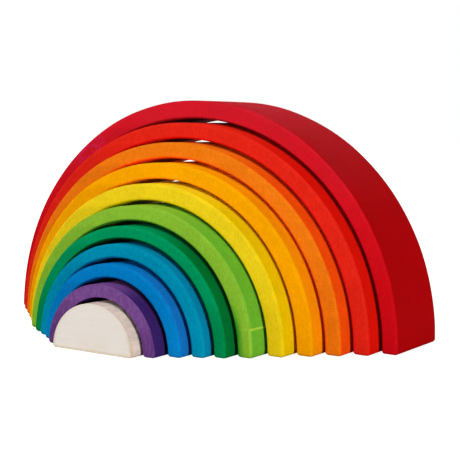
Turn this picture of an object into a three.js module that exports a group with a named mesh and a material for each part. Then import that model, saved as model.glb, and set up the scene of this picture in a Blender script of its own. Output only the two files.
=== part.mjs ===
// Rainbow stacker: ten dyed wooden arches nested round a half-round block of bare wood.
// Each piece stands a little in front of the arch around it, so the row steps forward to the middle.
// Millimetres. +X is to the right, +Y to the back and +Z up.
// The origin is on the table, in the middle of the row's footprint.

import * as THREE from 'three';

// Sizes that all pieces share.
const DEPTH = 74; // front face to back face
const BLOCK_RADIUS = 38; // the half-round block
const FOOT_GAP = 2.4; // clearance between the feet of a piece and of the arch around it
const CROWN_DROP = 0.9; // how much lower than a half circle the outside of an inner piece is sanded
const CRIMSON_RISE = 1.5; // how much higher than a half circle the outside of the crimson arch is left
const EDGE_ROUND = 2.2; // edges of the front and back faces
const CORNER_EXTRA = 0.4; // how much more the corners of the feet are rounded than those edges
const FOOT_ROUND = EDGE_ROUND + CORNER_EXTRA; // corners of the feet, seen from the front

// How thick each arch is at its feet.
const PURPLE_WALL = 11.1;
const BLUE_WALL = 12.2;
const TEAL_WALL = 11.6;
const DARK_GREEN_WALL = 11;
const LIGHT_GREEN_WALL = 12.9;
const YELLOW_WALL = 14.2;
const AMBER_WALL = 13.8;
const ORANGE_WALL = 13.7;
const RED_WALL = 13.9;
const CRIMSON_WALL = 13.6;

// How far each arch stands behind the piece inside it.
const PURPLE_SETBACK = 10.5;
const BLUE_SETBACK = 11.5;
const TEAL_SETBACK = 10;
const DARK_GREEN_SETBACK = 9;
const LIGHT_GREEN_SETBACK = 12;
const YELLOW_SETBACK = 17.5;
const AMBER_SETBACK = 15.5;
const ORANGE_SETBACK = 15;
const RED_SETBACK = 15;
const CRIMSON_SETBACK = 16;

// How finely the round stretches are cut.
const FACET_SAG = 0.15; // how far a facet may stay off its true arc
const EDGE_STEPS = 2; // facets across a rounded edge

// The arches from the inside out.
const ARCHES = [
  { name: 'purple_arch', colour: 0x6d447e, wall: PURPLE_WALL, setback: PURPLE_SETBACK },
  { name: 'blue_arch', colour: 0x0a79be, wall: BLUE_WALL, setback: BLUE_SETBACK },
  { name: 'teal_arch', colour: 0x048aad, wall: TEAL_WALL, setback: TEAL_SETBACK },
  { name: 'dark_green_arch', colour: 0x06834a, wall: DARK_GREEN_WALL, setback: DARK_GREEN_SETBACK },
  { name: 'light_green_arch', colour: 0x8aba28, wall: LIGHT_GREEN_WALL, setback: LIGHT_GREEN_SETBACK },
  { name: 'yellow_arch', colour: 0xeecd02, wall: YELLOW_WALL, setback: YELLOW_SETBACK },
  { name: 'amber_arch', colour: 0xf6a202, wall: AMBER_WALL, setback: AMBER_SETBACK },
  { name: 'orange_arch', colour: 0xf07005, wall: ORANGE_WALL, setback: ORANGE_SETBACK },
  { name: 'red_arch', colour: 0xe31e0d, wall: RED_WALL, setback: RED_SETBACK },
  { name: 'crimson_arch', colour: 0xc60e1a, wall: CRIMSON_WALL, setback: CRIMSON_SETBACK, drop: -CRIMSON_RISE },
];
const BLOCK_COLOUR = 0xe5dbcf;
const DYED_ROUGHNESS = 0.55;
const BARE_ROUGHNESS = 0.7;

const QUARTER = Math.PI / 2;

// Points along an arc, from one angle to another, with the fewest facets that keep to the sag.
// A drop flattens the arc into an ellipse, and a drop below zero makes it taller.
function arcPoints(x, z, radius, from, to, drop = 0) {
  const step = 2 * Math.acos(1 - FACET_SAG / radius);
  const count = Math.ceil(Math.abs(to - from) / step);
  const points = [];
  for (let i = 0; i <= count; i += 1) {
    const angle = from + ((to - from) * i) / count;
    points.push(new THREE.Vector2(x + radius * Math.cos(angle), z + (radius - drop) * Math.sin(angle)));
  }
  return points;
}

// The outside of a piece, standing on z = 0 on two rounded corners, from the right foot to the left.
function outerOutline(radius, drop) {
  const reach = radius - FOOT_ROUND;
  const lift = Math.asin(FOOT_ROUND / reach);
  const cornerX = reach * Math.cos(lift);
  return [
    ...arcPoints(cornerX, FOOT_ROUND, FOOT_ROUND, -QUARTER, lift),
    ...arcPoints(0, 0, radius, lift, Math.PI - lift, drop).slice(1),
    ...arcPoints(-cornerX, FOOT_ROUND, FOOT_ROUND, Math.PI - lift, 3 * QUARTER).slice(1),
  ];
}

// The inner half circle, back from the left foot to the right.
function innerOutline(radius) {
  const reach = radius + FOOT_ROUND;
  const lift = Math.asin(FOOT_ROUND / reach);
  const cornerX = reach * Math.cos(lift);
  return [
    ...arcPoints(-cornerX, FOOT_ROUND, FOOT_ROUND, -QUARTER, -lift),
    ...arcPoints(0, 0, radius, Math.PI - lift, lift).slice(1),
    ...arcPoints(cornerX, FOOT_ROUND, FOOT_ROUND, Math.PI + lift, 3 * QUARTER).slice(1),
  ];
}

// A piece of the full depth with rounded edges, from its back face at y = 0 forward.
function sawnPiece(name, outline, colour, roughness) {
  const geometry = new THREE.ExtrudeGeometry(new THREE.Shape(outline), {
    depth: DEPTH - 2 * EDGE_ROUND,
    bevelThickness: EDGE_ROUND,
    bevelSize: EDGE_ROUND,
    bevelOffset: -EDGE_ROUND,
    bevelSegments: EDGE_STEPS,
  });
  geometry.translate(0, 0, EDGE_ROUND);
  geometry.rotateX(QUARTER);
  const material = new THREE.MeshStandardMaterial({ color: colour, roughness, metalness: 0 });
  const mesh = new THREE.Mesh(geometry, material);
  mesh.name = name;
  return mesh;
}

const rowDepth = ARCHES.reduce((sum, arch) => sum + arch.setback, DEPTH);
const stacker = new THREE.Group();

const block = sawnPiece('natural_half_round', outerOutline(BLOCK_RADIUS, CROWN_DROP), BLOCK_COLOUR, BARE_ROUGHNESS);
block.position.y = DEPTH - rowDepth / 2;
stacker.add(block);

// Each arch is sized and set back from the piece inside it.
let outerRadius = BLOCK_RADIUS;
let backFace = block.position.y;
for (const { name, colour, wall, setback, drop = CROWN_DROP } of ARCHES) {
  const innerRadius = outerRadius + FOOT_GAP;
  outerRadius = innerRadius + wall;
  backFace += setback;
  const outline = [...outerOutline(outerRadius, drop), ...innerOutline(innerRadius)];
  const arch = sawnPiece(name, outline, colour, DYED_ROUGHNESS);
  arch.position.y = backFace;
  stacker.add(arch);
}

export default stacker;
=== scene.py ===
# Rainbow stacker: how the dyed arches and the bare half-round block look.
# Metres, in the frame of the part: +X right, +Y back, +Z up, the table at z = 0.
import math

import bmesh
import bpy
from mathutils import Matrix, Vector, noise


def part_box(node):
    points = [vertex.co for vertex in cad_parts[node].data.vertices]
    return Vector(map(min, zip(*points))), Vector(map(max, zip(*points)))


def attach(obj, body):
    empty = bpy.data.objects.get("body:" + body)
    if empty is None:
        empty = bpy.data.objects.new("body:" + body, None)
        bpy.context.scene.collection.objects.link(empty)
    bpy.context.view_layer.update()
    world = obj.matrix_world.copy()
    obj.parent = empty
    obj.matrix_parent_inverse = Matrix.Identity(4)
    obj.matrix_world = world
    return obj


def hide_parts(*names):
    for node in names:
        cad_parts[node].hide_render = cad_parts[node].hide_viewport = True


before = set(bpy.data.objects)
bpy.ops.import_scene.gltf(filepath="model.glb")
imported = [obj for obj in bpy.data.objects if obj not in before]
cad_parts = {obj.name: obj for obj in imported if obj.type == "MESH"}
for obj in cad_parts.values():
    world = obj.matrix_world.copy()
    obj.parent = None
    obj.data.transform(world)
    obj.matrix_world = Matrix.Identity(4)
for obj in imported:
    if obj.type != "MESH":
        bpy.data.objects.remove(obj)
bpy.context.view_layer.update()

# Sizes of the woodwork.
FOOT_GAP = 0.0024
FOOT_ROUND = 0.0026
EDGE_ROUND = 0.0022

# How finely the woodwork is meshed, and how near two points count as one.
MESH_CELL = 0.0036
ROUND_STEPS = 4
LEAST_CELLS_ACROSS = 3
LEAST_SWING_STEPS = 48
WELD = 0.00002
TOUCH = 0.00001

# A face that looks to the front or back by less than the first is on the curve, by more than the second flat.
CURVE_LEAN = 0.5
FACE_LEAN = 0.9

# Sanding by hand: the height and closeness of its waves, and where they begin above the table.
SANDING_WAVE = 0.00022
SANDING_CLOSENESS = 26
SANDING_START = 0.003
SANDING_RISE = 0.012
SANDING_SHIFT = (3.1, 1.7, 0.9)

# How far the outside of an arch stands prouder than its circle half-way up on the right.
SWELLED_FLANKS = {
    "light_green_arch": 0.0011,
    "yellow_arch": 0.0009,
    "amber_arch": 0.0009,
    "orange_arch": 0.0006,
    "red_arch": 0.0005,
}

# The row from the middle outward: node, dye on the front face and dye on the outer flank, as sRGB.
BLOCK = "natural_half_round"
DYES = {
    "purple_arch": (0x68457b, 0x392458),
    "blue_arch": (0x0570ad, 0x1764a4),
    "teal_arch": (0x017d9a, 0x077495),
    "dark_green_arch": (0x018454, 0x036230),
    "light_green_arch": (0x7ba735, 0x5e992f),
    "yellow_arch": (0xd7b820, 0xc3a402),
    "amber_arch": (0xdd9401, 0xce7b05),
    "orange_arch": (0xd57016, 0xcb480b),
    "red_arch": (0xca2a1c, 0xba160b),
    "crimson_arch": (0xbb1522, 0x97060b),
}
# How much deeper the front of each arch is at its foot than at its crown: above 1 deeper, below 1 paler.
FOOT_DEEPENING = {
    "purple_arch": 1.12,
    "blue_arch": 0.945,
    "teal_arch": 0.967,
    "dark_green_arch": 1.11,
    "light_green_arch": 1.02,
    "yellow_arch": 1.08,
    "amber_arch": 1.07,
    "orange_arch": 1.06,
    "red_arch": 1.01,
    "crimson_arch": 1.1,
}
# Painted light in the hollow side of each arch, next to its outer flank: above 1 paints the glow bounced
# inside the gaps of the warm arches, below 1 the deeper gap shade of the cool ones.
HOLLOW_PAINTED_LIGHT = {
    "purple_arch": 0.85,
    "blue_arch": 0.5,
    "teal_arch": 0.75,
    "dark_green_arch": 0.7,
    "light_green_arch": 0.55,
    "yellow_arch": 1.15,
    "amber_arch": 1.3,
    "orange_arch": 1.35,
    "red_arch": 1.15,
    "crimson_arch": 0.8,
}
# Bare wood of the block, as sRGB, and its stains.
BARE_FACE = 0xd3cbc3
BARE_ROUND = 0xc8b8ac
YELLOWED = (0.95, 0.88, 0.78, 1)
HANDLED_EDGE = (0.86, 0.72, 0.52, 1)
# Colours of the marks.
PALE_SEAM = (0.5, 0.68, 0.08, 1)
# Painted shadow of the dark green arch on the light green foot, tinted by the green light it bounces.
GREEN_PAINTED_SHADOW = (0.014, 0.16, 0.016, 1)
# Pink high on the crimson arch: its dye's bloom with a painted sheen.
PINK_BLOOM_AND_SHEEN = (0.0, 0.006, 0.01, 1)
PINK_CURL = (0.03, 0.007, 0.045, 1)
PALE_PURPLE = (0.3, 0.15, 0.32, 1)

# How much light falls on each side of the row.
FRONT_LIGHT = 1.25
SIDE_LIGHT = 0.85
CROWN_LIGHT = 0.84
CRIMSON_CROWN_LIGHT = 1.05
BRIGHTEST_DYE = 0.98

# Grain and marks: how often they repeat a metre along X, Y and Z.
UPRIGHT_STREAKS = (300, 300, 85)
UPRIGHT_FIBRES = (760, 800, 360)
LEVEL_STREAKS = (30, 260, 280)
LEVEL_FIBRES = (150, 850, 950)
ROUND_PORES = (260, 60, 260)
BLOTCHES = (30, 42, 42)
WORN_SPOTS = (120, 120, 120)
SEAM_AND_SHADOW_CLOUD = (60, 60, 60)
BLOOM_AND_SHEEN_CLOUD = (24, 24, 24)
BLOOM_CURLS = (150, 90, 190)
RAG_STREAKS = (480, 80, 150)
SCRATCHES = (60, 300, 900)
SCRATCH_SLANT = math.radians(33)
GRAIN_SHIFT = (0.37, 0.53, 0.71)

# How wide a part of a noise counts, and its middle.
MOST_OF_NOISE = (0.25, 0.75)
CORE_OF_NOISE = (0.3, 0.7)
MIDDLE_OF_NOISE = 0.5

# Which stretch of its noise each mark shows.
SEAM_AND_SHADOW_SEED = 3
RAG_SEED = 4
BLOOM_AND_SHEEN_SEED = 5
CURL_SEED = 8
SCRATCH_SEED = 0


# Shapes.

def swing_section(inner, outer, front, back):
    """The section of the right foot, swung over the top to the left foot."""
    wood = bmesh.new()
    across = max(LEAST_CELLS_ACROSS, round((outer - inner) / MESH_CELL))
    along = round((back - front) / MESH_CELL)
    bmesh.ops.create_grid(wood, x_segments=across, y_segments=along, size=0.5)
    bmesh.ops.scale(wood, vec=(outer - inner, back - front, 1), verts=wood.verts)
    middle = Vector(((inner + outer) / 2, (front + back) / 2, 0))
    bmesh.ops.translate(wood, vec=middle, verts=wood.verts)
    bmesh.ops.spin(
        wood,
        geom=wood.verts[:] + wood.edges[:] + wood.faces[:],
        cent=(0, 0, 0),
        axis=(0, 1, 0),
        angle=-math.pi,
        steps=max(LEAST_SWING_STEPS, round(math.pi * outer / MESH_CELL)),
        use_merge=False,
    )
    bmesh.ops.remove_doubles(wood, verts=wood.verts, dist=WELD)
    bmesh.ops.recalc_face_normals(wood, faces=wood.faces)
    return wood


def level_crown(wood, inner, outer, height):
    """Brings the outside of a piece to its own height: the crowns aren't quite half circles."""
    for vert in wood.verts:
        outward = (math.hypot(vert.co.x, vert.co.z) - inner) / (outer - inner)
        vert.co.z *= 1 + outward * (height / outer - 1)


def swell_flank(wood, inner, outer, swell):
    """Lets the outside stand a little prouder on the right, as a hand-held saw leaves it."""
    for vert in wood.verts:
        if vert.co.x > 0 and vert.co.z > 0:
            reach = math.hypot(vert.co.x, vert.co.z)
            outward = (reach - inner) / (outer - inner)
            half_way = 2 * vert.co.x * vert.co.z / (reach * reach)
            growth = 1 + outward * swell * half_way / outer
            vert.co.x *= growth
            vert.co.z *= growth


def round_over(wood, edges, radius):
    """Rounds these edges, as a router and sandpaper leave them."""
    bmesh.ops.bevel(
        wood,
        geom=edges,
        offset=radius,
        offset_type="OFFSET",
        segments=ROUND_STEPS,
        profile=0.5,
        affect="EDGES",
        clamp_overlap=True,
        material=-1,
    )


def foot_corners(wood, inner, outer):
    """The edges along the depth where a foot meets the curved faces."""
    def is_corner(edge):
        ends = [vert.co for vert in edge.verts]
        low = all(abs(co.z) < TOUCH for co in ends)
        straight = abs(ends[0].x - ends[1].x) < TOUCH
        reach = abs(ends[0].x)
        return low and straight and (abs(reach - outer) < TOUCH or abs(reach - inner) < TOUCH)
    return [edge for edge in wood.edges if is_corner(edge)]


def face_outlines(wood):
    """The edges round the front face and the back face."""
    def is_outline(edge):
        leans = sorted(abs(face.normal.y) for face in edge.link_faces)
        return len(leans) == 2 and leans[0] < CURVE_LEAN and leans[1] > FACE_LEAN
    return [edge for edge in wood.edges if is_outline(edge)]


def sand_by_hand(wood, seed):
    """Leaves the faces a little uneven, but not the feet."""
    shift = Vector([seed * step for step in SANDING_SHIFT])
    wood.normal_update()
    for vert in wood.verts:
        rise = min(max((vert.co.z - SANDING_START) / SANDING_RISE, 0), 1)
        wave = noise.noise(vert.co * SANDING_CLOSENESS + shift)
        vert.co += vert.normal * (wave * SANDING_WAVE * rise)


def shape_wood(node, inner, outer, front, back, height, seed):
    """The wood of one piece, with its edges rounded and its faces sanded."""
    wood = swing_section(inner, outer, front, back)
    level_crown(wood, inner, outer, height)
    swell_flank(wood, inner, outer, SWELLED_FLANKS.get(node, 0.0))
    corners = foot_corners(wood, inner if inner > 0 else outer, outer)
    round_over(wood, corners, FOOT_ROUND)
    wood.normal_update()
    round_over(wood, face_outlines(wood), EDGE_ROUND)
    sand_by_hand(wood, seed)
    bmesh.ops.recalc_face_normals(wood, faces=wood.faces)
    for face in wood.faces:
        face.smooth = True
    return wood


def sawn_piece(node, size, seed):
    """One piece of the row, in place of its solid."""
    wood = shape_wood(node, *size, seed)
    mesh = bpy.data.meshes.new(node + "_wood")
    wood.to_mesh(mesh)
    wood.free()
    piece = bpy.data.objects.new(node + "_wood", mesh)
    bpy.context.scene.collection.objects.link(piece)
    piece.modifiers.new("even_shading", "WEIGHTED_NORMAL")
    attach(piece, node)
    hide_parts(node)
    return piece


# Small helpers for the finishes.

def linear(srgb, light):
    """The albedo that shows as this sRGB colour under so much light."""
    channels = []
    for shift in (16, 8, 0):
        value = ((srgb >> shift) & 255) / 255
        value = value / 12.92 if value <= 0.04045 else ((value + 0.055) / 1.055) ** 2.4
        channels.append(min(value / light, BRIGHTEST_DYE))
    return (*channels, 1.0)


def new_finish(name):
    """An empty finish, and its nodes."""
    finish = bpy.data.materials.new(name)
    finish.use_nodes = True
    finish.node_tree.nodes.clear()
    return finish, finish.node_tree


def feed(tree, socket, value):
    """Links a socket to another one, or sets it."""
    if isinstance(value, bpy.types.NodeSocket):
        tree.links.new(value, socket)
    else:
        socket.default_value = value


def reckon(tree, operation, *terms):
    """One step of arithmetic."""
    node = tree.nodes.new("ShaderNodeMath")
    node.operation = operation
    for socket, term in zip(node.inputs, terms):
        feed(tree, socket, term)
    return node.outputs[0]


def times(tree, first, *others):
    """The terms, multiplied in turn."""
    product = first
    for other in others:
        product = reckon(tree, "MULTIPLY", product, other)
    return product


def ease(tree, value, low, high, start=0.0, end=1.0):
    """Goes smoothly from start to end while the value goes from low to high."""
    node = tree.nodes.new("ShaderNodeMapRange")
    node.interpolation_type = "SMOOTHSTEP"
    for socket, term in zip(node.inputs, (value, low, high, start, end)):
        feed(tree, socket, term)
    return node.outputs[0]


# Sockets of a mix node that take and give colours.
MIX_AMOUNT = 0
MIX_UNDER = 6
MIX_OVER = 7
MIX_RESULT = 2


def tint(tree, how, amount, under, over):
    """Lays one colour over another."""
    node = tree.nodes.new("ShaderNodeMix")
    node.data_type = "RGBA"
    node.blend_type = how
    feed(tree, node.inputs[MIX_AMOUNT], amount)
    feed(tree, node.inputs[MIX_UNDER], under)
    feed(tree, node.inputs[MIX_OVER], over)
    return node.outputs[MIX_RESULT]


def shade(tree, colour, factor):
    """The colour, lighter or darker by a factor."""
    grey = tree.nodes.new("ShaderNodeCombineColor")
    for socket in grey.inputs:
        feed(tree, socket, factor)
    return tint(tree, "MULTIPLY", 1.0, colour, grey.outputs[0])


def deepen(tree, colour, deepening):
    """The colour raised to a power: above 1 deeper, below 1 paler."""
    node = tree.nodes.new("ShaderNodeGamma")
    feed(tree, node.inputs["Color"], colour)
    feed(tree, node.inputs["Gamma"], deepening)
    return node.outputs[0]


def wood_place(tree, seed, stretch, slant):
    """Where a spot is in the wood, squeezed along the grain."""
    place = tree.nodes.new("ShaderNodeTexCoord")
    mapping = tree.nodes.new("ShaderNodeMapping")
    mapping.inputs["Location"].default_value = [seed * step for step in GRAIN_SHIFT]
    mapping.inputs["Rotation"].default_value = (0, slant, 0)
    mapping.inputs["Scale"].default_value = stretch
    tree.links.new(place.outputs["Object"], mapping.inputs["Vector"])
    return mapping.outputs[0]


def mottle(tree, seed, stretch, detail=2.0, roughness=0.5, distortion=0.0, slant=0.0):
    """Uneven patches from 0 to 1, as long and as close as the stretch says."""
    node = tree.nodes.new("ShaderNodeTexNoise")
    feed(tree, node.inputs["Vector"], wood_place(tree, seed, stretch, slant))
    node.inputs["Scale"].default_value = 1.0
    node.inputs["Detail"].default_value = detail
    node.inputs["Roughness"].default_value = roughness
    node.inputs["Distortion"].default_value = distortion
    return node.outputs[0]


def spot_parts(tree):
    """X, Y and Z of a spot, and its distance from the middle of the arch."""
    place = tree.nodes.new("ShaderNodeTexCoord")
    parts = tree.nodes.new("ShaderNodeSeparateXYZ")
    tree.links.new(place.outputs["Object"], parts.inputs[0])
    x, y, z = parts.outputs
    square = reckon(tree, "ADD", times(tree, x, x), times(tree, z, z))
    return x, y, z, reckon(tree, "SQRT", square)


def facing(tree):
    """How far a face looks to the front or back, and how far to the sides."""
    place = tree.nodes.new("ShaderNodeTexCoord")
    parts = tree.nodes.new("ShaderNodeSeparateXYZ")
    tree.links.new(place.outputs["Normal"], parts.inputs[0])
    x, y, _ = parts.outputs
    return reckon(tree, "ABSOLUTE", y), reckon(tree, "ABSOLUTE", x)


def outward_lean(tree):
    """1 where a face looks away from the middle of the arch, -1 where it looks into the hollow."""
    place = tree.nodes.new("ShaderNodeTexCoord")
    outward = tree.nodes.new("ShaderNodeVectorMath")
    outward.operation = "MULTIPLY"
    outward.inputs[1].default_value = (1, 0, 1)
    tree.links.new(place.outputs["Object"], outward.inputs[0])
    unit = tree.nodes.new("ShaderNodeVectorMath")
    unit.operation = "NORMALIZE"
    tree.links.new(outward.outputs[0], unit.inputs[0])
    lean = tree.nodes.new("ShaderNodeVectorMath")
    lean.operation = "DOT_PRODUCT"
    tree.links.new(unit.outputs[0], lean.inputs[0])
    tree.links.new(place.outputs["Normal"], lean.inputs[1])
    return lean.outputs["Value"]


FACE_BEGINS = (0.2, 0.75)
HOLLOW_EDGE_ENDS = (-0.5, -0.08)


def face_share(tree):
    """1 on the flat faces and 0 on the curved ones: the inner edges turn sooner than the outer ones."""
    to_front, _ = facing(tree)
    off_hollow = ease(tree, outward_lean(tree), *HOLLOW_EDGE_ENDS)
    return times(tree, ease(tree, to_front, *FACE_BEGINS), off_hollow)


# One mask for the edges and the foot: wear on both woods, and painted shade on the dyed edges.
EDGE_WEAR_AND_SHADE_FADES = (0.0004, 0.0028)
FOOT_WEAR_AND_SHADE_FADES = (0.0006, 0.003)
FOOT_WEAR_AND_SHADE = 0.8


def edge_wear_and_shade(tree, inner, outer, front, back, height):
    """1 along the rounded edges, 0 a few millimetres away from them."""
    _, y, z, reach = spot_parts(tree)
    drop = times(tree, reckon(tree, "DIVIDE", z, reach), outer - height)
    from_outside = reckon(tree, "SUBTRACT", reckon(tree, "SUBTRACT", outer, reach), drop)
    inward = reckon(tree, "MINIMUM", reckon(tree, "SUBTRACT", reach, inner), from_outside)
    from_front = reckon(tree, "SUBTRACT", y, front)
    depth = reckon(tree, "MINIMUM", from_front, reckon(tree, "SUBTRACT", back, y))
    away = reckon(tree, "MAXIMUM", inward, depth)
    along_faces = ease(tree, away, *EDGE_WEAR_AND_SHADE_FADES, 1.0, 0.0)
    along_foot = ease(tree, z, *FOOT_WEAR_AND_SHADE_FADES, FOOT_WEAR_AND_SHADE, 0.0)
    return reckon(tree, "MAXIMUM", along_faces, along_foot)


RELIEF_STRENGTH = 0.35
FIBRE_RELIEF = 0.6


def grain_relief(tree, streaks, fibres):
    """How high the grain stands."""
    return reckon(tree, "ADD", streaks, times(tree, fibres, FIBRE_RELIEF))


def finish_shader(tree, colour, roughness, relief, relief_depth, shine):
    """The surface of a finish, with its grain raised a little."""
    surface = tree.nodes.new("ShaderNodeBsdfPrincipled")
    feed(tree, surface.inputs["Base Color"], colour)
    feed(tree, surface.inputs["Roughness"], roughness)
    surface.inputs["Specular IOR Level"].default_value = shine
    bump = tree.nodes.new("ShaderNodeBump")
    bump.inputs["Strength"].default_value = RELIEF_STRENGTH
    bump.inputs["Distance"].default_value = relief_depth
    feed(tree, bump.inputs["Height"], relief)
    tree.links.new(bump.outputs[0], surface.inputs["Normal"])
    output = tree.nodes.new("ShaderNodeOutputMaterial")
    tree.links.new(surface.outputs[0], output.inputs[0])


# Light green: the right foot is glued on.

RIGHT_FOOT = (0.05, 0.06)
SEAM_HEIGHT = 0.0215
SEAM_WANDER = 0.0012
SEAM_FADES = (0.0003, 0.0012)
SEAM_STRENGTH = 0.5
SEAM_TURNS = (0.3, 0.8)
SEAM_ON_FRONT = 0.12
BELOW_SEAM = (0.0205, 0.022)
PALE_EDGE_STRENGTH = 0.12
FRONT_EDGE = (-0.0496, -0.0486)
OUTER_EDGE = (0.1068, 0.1078)
# Painted shadow on the light green foot: where it rises, spreads and thins.
SHADOW_RISES = (0.016, 0.052)
SHADOW_SPREADS = (0.097, 0.1035)
SHADOW_CLEARS = (0.25, 0.6)
SHADOW_THINNEST = 0.7
SHADOW_TURNS = (0.5, 0.8)


def glue_seam(tree, colour, z, wander, to_front, right):
    """A pale line across the foot, faint on the front."""
    cloud = times(tree, reckon(tree, "SUBTRACT", wander, MIDDLE_OF_NOISE), SEAM_WANDER)
    above_seam = reckon(tree, "SUBTRACT", reckon(tree, "ADD", z, cloud), SEAM_HEIGHT)
    off_seam = reckon(tree, "ABSOLUTE", above_seam)
    seam = times(tree, ease(tree, off_seam, *SEAM_FADES, SEAM_STRENGTH, 0.0), right)
    on_curve = ease(tree, to_front, *SEAM_TURNS, 1.0, SEAM_ON_FRONT)
    return tint(tree, "MIX", times(tree, seam, on_curve), colour, PALE_SEAM)


def pale_edge(tree, colour, y, z, reach, right):
    """A pale line down the outer front edge, below the seam."""
    below = times(tree, ease(tree, z, *BELOW_SEAM, PALE_EDGE_STRENGTH, 0.0), right)
    near_front = ease(tree, y, *FRONT_EDGE, 1.0, 0.0)
    edge = times(tree, near_front, ease(tree, reach, *OUTER_EDGE))
    return tint(tree, "MIX", times(tree, below, edge), colour, PALE_SEAM)


def foot_painted_shadow(tree, colour, z, reach, wander, to_front, right):
    """Painted shadow: a darker green cloud on the front, towards the hollow, where the dark green arch shades
    the foot and bounces green light onto it.
    """
    low = times(tree, ease(tree, z, *SHADOW_RISES, 1.0, 0.0), right)
    cloud = ease(tree, wander, *SHADOW_CLEARS, SHADOW_THINNEST, 1.0)
    inside = times(tree, ease(tree, reach, *SHADOW_SPREADS, 1.0, 0.0), cloud)
    painted_shadow = times(tree, low, inside, ease(tree, to_front, *SHADOW_TURNS))
    return tint(tree, "MIX", painted_shadow, colour, GREEN_PAINTED_SHADOW)


def glued_foot(tree, colour):
    """A pale glue seam across the right foot, a pale edge below it and a painted shadow of the dark green
    arch.
    """
    x, y, z, reach = spot_parts(tree)
    to_front, _ = facing(tree)
    right = ease(tree, x, *RIGHT_FOOT)
    wander = mottle(tree, SEAM_AND_SHADOW_SEED, SEAM_AND_SHADOW_CLOUD)
    colour = glue_seam(tree, colour, z, wander, to_front, right)
    colour = pale_edge(tree, colour, y, z, reach, right)
    return foot_painted_shadow(tree, colour, z, reach, wander, to_front, right)


# Crimson: the dye bloomed, and a painted sheen lies over it high up.

BLOOM_AND_SHEEN_RISES = (0.08, 0.19)
BLOOM_AND_SHEEN_STRENGTH = (0.6, 1.1)
PATCH_LEFT = 0.112
PATCH_HEIGHT = 0.146
PATCH_CLOSENESS = 42.0
PATCH_FADES = (0.2, 1.2)
CURL_BEGINS = (0.45, 0.65)
FRONT_ENDS = (0.0305, 0.033)


def pink_bloom_and_sheen(tree, colour):
    """Pinker high up, the dye's own bloom with a painted sheen of the light from above, and a cloudy patch on
    the left of the front.
    """
    x, y, z, _ = spot_parts(tree)
    cloud = mottle(tree, BLOOM_AND_SHEEN_SEED, BLOOM_AND_SHEEN_CLOUD, detail=3.0)
    clouded = ease(tree, cloud, *CORE_OF_NOISE, *BLOOM_AND_SHEEN_STRENGTH)
    high = times(tree, ease(tree, z, *BLOOM_AND_SHEEN_RISES), clouded)
    colour = tint(tree, "ADD", high, colour, PINK_BLOOM_AND_SHEEN)
    across = times(tree, reckon(tree, "ADD", x, PATCH_LEFT), PATCH_CLOSENESS)
    up = times(tree, reckon(tree, "SUBTRACT", z, PATCH_HEIGHT), PATCH_CLOSENESS)
    away = reckon(tree, "ADD", times(tree, across, across), times(tree, up, up))
    curls = mottle(tree, CURL_SEED, BLOOM_CURLS, distortion=1.6)
    near = ease(tree, away, *PATCH_FADES, 1.0, 0.0)
    patch = times(tree, near, ease(tree, curls, *CURL_BEGINS))
    on_front = ease(tree, y, *FRONT_ENDS, 1.0, 0.0)
    return tint(tree, "ADD", times(tree, patch, on_front), colour, PINK_CURL)


# Purple and orange: marks of the rag and the sandpaper.

RAG_BEGINS = (0.4, 0.75)
RAG_TURNS = (0.6, 0.9)
RAG_STRENGTH = 0.14
SCRATCH_SHADES = (0.97, 1.03)


def rubbed_streaks(tree, colour):
    """Pale upright streaks on the front, where the rag took some dye off."""
    streaks = mottle(tree, RAG_SEED, RAG_STREAKS, detail=3.0, roughness=0.6)
    to_front, _ = facing(tree)
    pale = ease(tree, streaks, *RAG_BEGINS, 0.0, RAG_STRENGTH)
    on_front = ease(tree, to_front, *RAG_TURNS)
    return tint(tree, "MIX", times(tree, pale, on_front), colour, PALE_PURPLE)


def slanting_scratches(tree, colour):
    """Fine sanding scratches at a slant to the table."""
    scratches = mottle(tree, SCRATCH_SEED, SCRATCHES, roughness=0.6, slant=SCRATCH_SLANT)
    return shade(tree, colour, ease(tree, scratches, *CORE_OF_NOISE, *SCRATCH_SHADES))


MARKS = {
    "light_green_arch": glued_foot,
    "crimson_arch": pink_bloom_and_sheen,
    "purple_arch": rubbed_streaks,
    "orange_arch": slanting_scratches,
}


# Finishes.

# Dyed wood: where one dye turns into the next, how much the grain shows, and the surface.
HOLLOW_ENDS = (-0.45, -0.1)
CROWN_TO_FLANK = (0.08, 0.65)
RIM_BEGINS = (0.05, 0.4)
# The rim of the hollow is painted darker by this factor: painted shade under the inner edge.
RIM_PAINTED_SHADE = 0.7
FOOT_TO_CROWN = (0.15, 0.6)
DYED_STREAKS = (0.97, 1.03)
DYED_FIBRES = (0.93, 1.065)
DYED_BLOTCHES = (0.955, 1.04)
FIBRE_COATS = (1.03, 0.97)
WORN_BEGINS = (0.4, 0.65)
# From a little darker, painted shade on the rounded edges, to a little paler, worn dye.
DYED_WEAR_AND_SHADE = (-0.05, 0.03)
DYED_ROUGHNESS = (0.5, 0.62)
DYED_RELIEF = 0.00012
DYED_SHINE = 0.01

# Bare wood: the same.
BARE_PORES = (0.88, 1.07)
BARE_STREAKS = (0.985, 1.012)
BARE_FIBRES = (0.97, 1.02)
YELLOWED_BEGINS = (0.5, 0.75)
YELLOWED_STRENGTH = 0.5
HANDLED_RISES = (0.002, 0.02)
HANDLED_STRENGTH = (0.75, 0.2)
BARE_ROUGHNESS = (0.58, 0.7)
BARE_RELIEF = 0.0001
BARE_SHINE = 0.08


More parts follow.
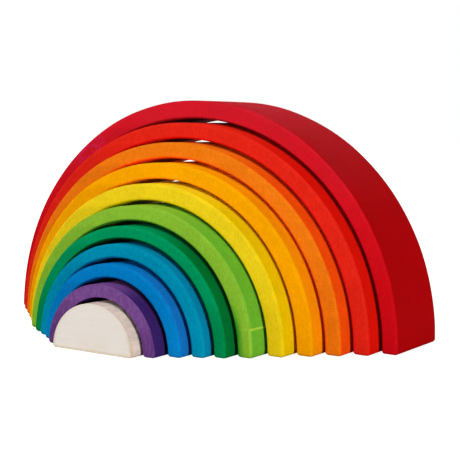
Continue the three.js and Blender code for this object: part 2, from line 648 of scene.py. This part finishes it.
def dyed_grain(tree, node, outer):
    """The dye: deep at the flanks and lighter on the faces and the crown; in the hollow the flank dye with
    painted light, lighter in warm arches for the glow in their gaps and darker in cool ones, and painted
    shade along the hollow's rim.
    """
    face_srgb, flank_srgb = DYES[node]
    to_front, to_side = facing(tree)
    hollow = ease(tree, outward_lean(tree), *HOLLOW_ENDS, 1.0, 0.0)
    crown_light = CRIMSON_CROWN_LIGHT if node == "crimson_arch" else CROWN_LIGHT
    crown_dye = linear(face_srgb, crown_light)
    flank_dye = linear(flank_srgb, SIDE_LIGHT)
    # Painted light: the hollow gets the flank dye, made lighter or darker by the glow and shade of its gap.
    hollow_glow_and_shade = linear(flank_srgb, SIDE_LIGHT / HOLLOW_PAINTED_LIGHT[node])
    curve = tint(tree, "MIX", ease(tree, to_side, *CROWN_TO_FLANK), crown_dye, flank_dye)
    curve = tint(tree, "MIX", hollow, curve, hollow_glow_and_shade)
    # Painted shade along the rim of the hollow, where it turns down under the front.
    painted_rim_shade = times(tree, hollow, ease(tree, to_front, *RIM_BEGINS))
    curve = shade(tree, curve, ease(tree, painted_rim_shade, 0.0, 1.0, 1.0, RIM_PAINTED_SHADE))
    _, _, z, _ = spot_parts(tree)
    foot_top, crown_foot = [share * outer for share in FOOT_TO_CROWN]
    deepening = ease(tree, z, foot_top, crown_foot, FOOT_DEEPENING[node], 1.0)
    face = deepen(tree, linear(face_srgb, FRONT_LIGHT), deepening)
    return tint(tree, "MIX", face_share(tree), curve, face)


def worn_and_shaded_edges(tree, colour, size, seed):
    """Along the edges and low on the foot: here a little darker, painted shade that tones down the light
    caught by the rounded edges, and there a little paler, where the dye is worn.
    """
    patchy = ease(tree, mottle(tree, seed, WORN_SPOTS), *WORN_BEGINS)
    rubbed_and_shaded = times(tree, edge_wear_and_shade(tree, *size), ease(tree, patchy, 0.0, 1.0, *DYED_WEAR_AND_SHADE))
    return shade(tree, colour, reckon(tree, "ADD", 1.0, rubbed_and_shaded))


def dyed_wood(node, size, seed):
    """Thin dye rubbed into sanded wood: the grain shows through it."""
    finish, tree = new_finish(node.replace("_arch", "_dyed_wood"))
    _, outer, *_ = size
    colour = dyed_grain(tree, node, outer)
    streaks = mottle(tree, seed, UPRIGHT_STREAKS, detail=3.0, roughness=0.6, distortion=0.4)
    fibres = mottle(tree, seed, UPRIGHT_FIBRES, detail=3.0, roughness=0.7)
    blotches = mottle(tree, seed, BLOTCHES, detail=3.0, roughness=0.55)
    colour = shade(tree, colour, ease(tree, streaks, *MOST_OF_NOISE, *DYED_STREAKS))
    colour = shade(tree, colour, ease(tree, fibres, *MOST_OF_NOISE, *DYED_FIBRES))
    colour = shade(tree, colour, ease(tree, blotches, *MOST_OF_NOISE, *DYED_BLOTCHES))
    colour = deepen(tree, colour, ease(tree, fibres, *CORE_OF_NOISE, *FIBRE_COATS))
    if node in MARKS:
        colour = MARKS[node](tree, colour)
    colour = worn_and_shaded_edges(tree, colour, size, seed)
    roughness = ease(tree, blotches, *CORE_OF_NOISE, *DYED_ROUGHNESS)
    relief = grain_relief(tree, streaks, fibres)
    finish_shader(tree, colour, roughness, relief, DYED_RELIEF, DYED_SHINE)
    return finish


def bare_grain(tree, seed):
    """Pale wood: smooth on the faces, with open pores on the round side."""
    pores = mottle(tree, seed, ROUND_PORES, detail=3.0, roughness=0.6)
    pore_shade = ease(tree, pores, *CORE_OF_NOISE, *BARE_PORES)
    round_wood = shade(tree, linear(BARE_ROUND, SIDE_LIGHT), pore_shade)
    return tint(tree, "MIX", face_share(tree), round_wood, linear(BARE_FACE, FRONT_LIGHT))


def handled_edges(tree, colour, size):
    """Edges that hands have browned, most of all low down."""
    _, _, z, _ = spot_parts(tree)
    low = ease(tree, z, *HANDLED_RISES, *HANDLED_STRENGTH)
    return tint(tree, "MULTIPLY", times(tree, edge_wear_and_shade(tree, *size), low), colour, HANDLED_EDGE)


def bare_wood(name, size, seed):
    """Pale sanded wood with faint level grain."""
    finish, tree = new_finish(name)
    colour = bare_grain(tree, seed)
    streaks = mottle(tree, seed, LEVEL_STREAKS, detail=3.0, roughness=0.55, distortion=0.3)
    fibres = mottle(tree, seed, LEVEL_FIBRES, detail=3.0, roughness=0.7)
    blotches = mottle(tree, seed, BLOTCHES, detail=3.0, roughness=0.55)
    colour = shade(tree, colour, ease(tree, streaks, *MOST_OF_NOISE, *BARE_STREAKS))
    colour = shade(tree, colour, ease(tree, fibres, *MOST_OF_NOISE, *BARE_FIBRES))
    yellowing = ease(tree, blotches, *YELLOWED_BEGINS, 0.0, YELLOWED_STRENGTH)
    colour = tint(tree, "MULTIPLY", yellowing, colour, YELLOWED)
    colour = handled_edges(tree, colour, size)
    roughness = ease(tree, blotches, *CORE_OF_NOISE, *BARE_ROUGHNESS)
    relief = grain_relief(tree, streaks, fibres)
    finish_shader(tree, colour, roughness, relief, BARE_RELIEF, BARE_SHINE)
    return finish


# The row.

NO_HOLLOW = -1.0


def build_row():
    """The block and the arches, each sized from its own solid."""
    inner = 0.0
    for seed, node in enumerate([BLOCK, *DYES], start=1):
        low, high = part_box(node)
        outer = (high.x - low.x) / 2
        size = (inner, outer, low.y, high.y, high.z)
        piece = sawn_piece(node, size, seed)
        if node == BLOCK:
            finish = bare_wood("bare_sanded_wood", (NO_HOLLOW, *size[1:]), seed)
        else:
            finish = dyed_wood(node, size, seed)
        piece.data.materials.append(finish)
        inner = outer + FOOT_GAP


# The setting.

TABLE_HALF = 6
TABLE_DROP = 0.0003
TABLE_GREY = (0.35, 0.35, 0.35, 1)
TABLE_ROUGHNESS = 0.9
TABLE_GLOW = 0.93
WHITE = (1, 1, 1, 1)
ROOM_GLOW = 0.1

# Suns: where each shines to, its strength, its softness in degrees, and whether it shows as gloss.
SUNS = {
    "front_light": ((0.04, 0.97, -0.14), 1.0, 25, False),
    "right_light": ((-0.95, 0.27, -0.08), 0.85, 6, True),
    "top_light": ((0.55, 0.25, -0.79), 0.65, 35, True),
    "back_light": ((0.3, -0.92, -0.25), 0.8, 40, False),
}

# The camera, as fitted to the photograph: millimetres for the lens and degrees for its turns.
FILM_WIDTH = 36
FOCAL_LENGTH = 93.58
FAR_END = 30
CAMERA_SPOT = (0.5646, -0.7938, 0.1785)
CAMERA_PAN = 32.66
CAMERA_DIP = 5.41
CAMERA_ROLL = 1.08

# How dark tones are printed, in the curve that all colours share.
SHARED_CURVE = 3
PRINT_TONES = ((0.03, 0.02), (0.12, 0.108), (0.3, 0.295))


def white_table():
    """A pale table that the camera sees as white, with no shadow."""
    finish, tree = new_finish("white_table")
    surface = tree.nodes.new("ShaderNodeBsdfPrincipled")
    surface.inputs["Base Color"].default_value = TABLE_GREY
    surface.inputs["Roughness"].default_value = TABLE_ROUGHNESS
    surface.inputs["Specular IOR Level"].default_value = 0.0
    surface.inputs["Emission Color"].default_value = WHITE
    path = tree.nodes.new("ShaderNodeLightPath")
    glow = times(tree, path.outputs["Is Camera Ray"], TABLE_GLOW)
    feed(tree, surface.inputs["Emission Strength"], glow)
    output = tree.nodes.new("ShaderNodeOutputMaterial")
    tree.links.new(surface.outputs[0], output.inputs[0])
    return finish


def pale_floor():
    """The top of the table, a hair below the feet."""
    top = bmesh.new()
    bmesh.ops.create_grid(top, x_segments=1, y_segments=1, size=TABLE_HALF)
    bmesh.ops.translate(top, vec=(0, 0, -TABLE_DROP), verts=top.verts)
    mesh = bpy.data.meshes.new("table_top")
    top.to_mesh(mesh)
    top.free()
    mesh.materials.append(white_table())
    floor = bpy.data.objects.new("table_top", mesh)
    bpy.context.scene.collection.objects.link(floor)


def soft_sun(name, towards, strength, softness, gloss):
    """A wide lamp, far away."""
    lamp = bpy.data.lights.new(name, "SUN")
    lamp.energy = strength * math.pi
    lamp.angle = math.radians(softness)
    sun = bpy.data.objects.new(name, lamp)
    sun.rotation_euler = Vector(towards).to_track_quat("-Z", "Y").to_euler()
    sun.visible_glossy = gloss
    bpy.context.scene.collection.objects.link(sun)


def white_room():
    """A room that the camera sees as white, and that lights the row only a little."""
    world = bpy.data.worlds.new("white_room")
    world.use_nodes = True
    tree = world.node_tree
    tree.nodes.clear()
    path = tree.nodes.new("ShaderNodeLightPath")
    room = tree.nodes.new("ShaderNodeBackground")
    room.inputs["Color"].default_value = WHITE
    glow = ease(tree, path.outputs["Is Camera Ray"], 0.0, 1.0, ROOM_GLOW, 1.0)
    feed(tree, room.inputs["Strength"], glow)
    output = tree.nodes.new("ShaderNodeOutputWorld")
    tree.links.new(room.outputs[0], output.inputs[0])
    bpy.context.scene.world = world


def camera():
    """The photograph's view, from the right and a little above."""
    lens = bpy.data.cameras.new("camera")
    lens.sensor_width = FILM_WIDTH
    lens.lens = FOCAL_LENGTH
    lens.clip_end = FAR_END
    view = bpy.data.objects.new("camera", lens)
    pan = Matrix.Rotation(math.radians(CAMERA_PAN), 4, "Z")
    tilt = Matrix.Rotation(math.radians(90 - CAMERA_DIP), 4, "X")
    roll = Matrix.Rotation(math.radians(CAMERA_ROLL), 4, "Z")
    view.matrix_world = Matrix.Translation(CAMERA_SPOT) @ (pan @ tilt @ roll)
    bpy.context.scene.collection.objects.link(view)
    bpy.context.scene.camera = view


def studio_print():
    """Plain colours with deep blacks, as in a catalogue print."""
    print_look = bpy.context.scene.view_settings
    print_look.view_transform = "Standard"
    print_look.use_curve_mapping = True
    curves = print_look.curve_mapping
    tone = curves.curves[SHARED_CURVE]
    for dark, printed in PRINT_TONES:
        tone.points.new(dark, printed)
    curves.update()


build_row()
pale_floor()
for name, sun in SUNS.items():
    soft_sun(name, *sun)
white_room()
camera()
studio_print()
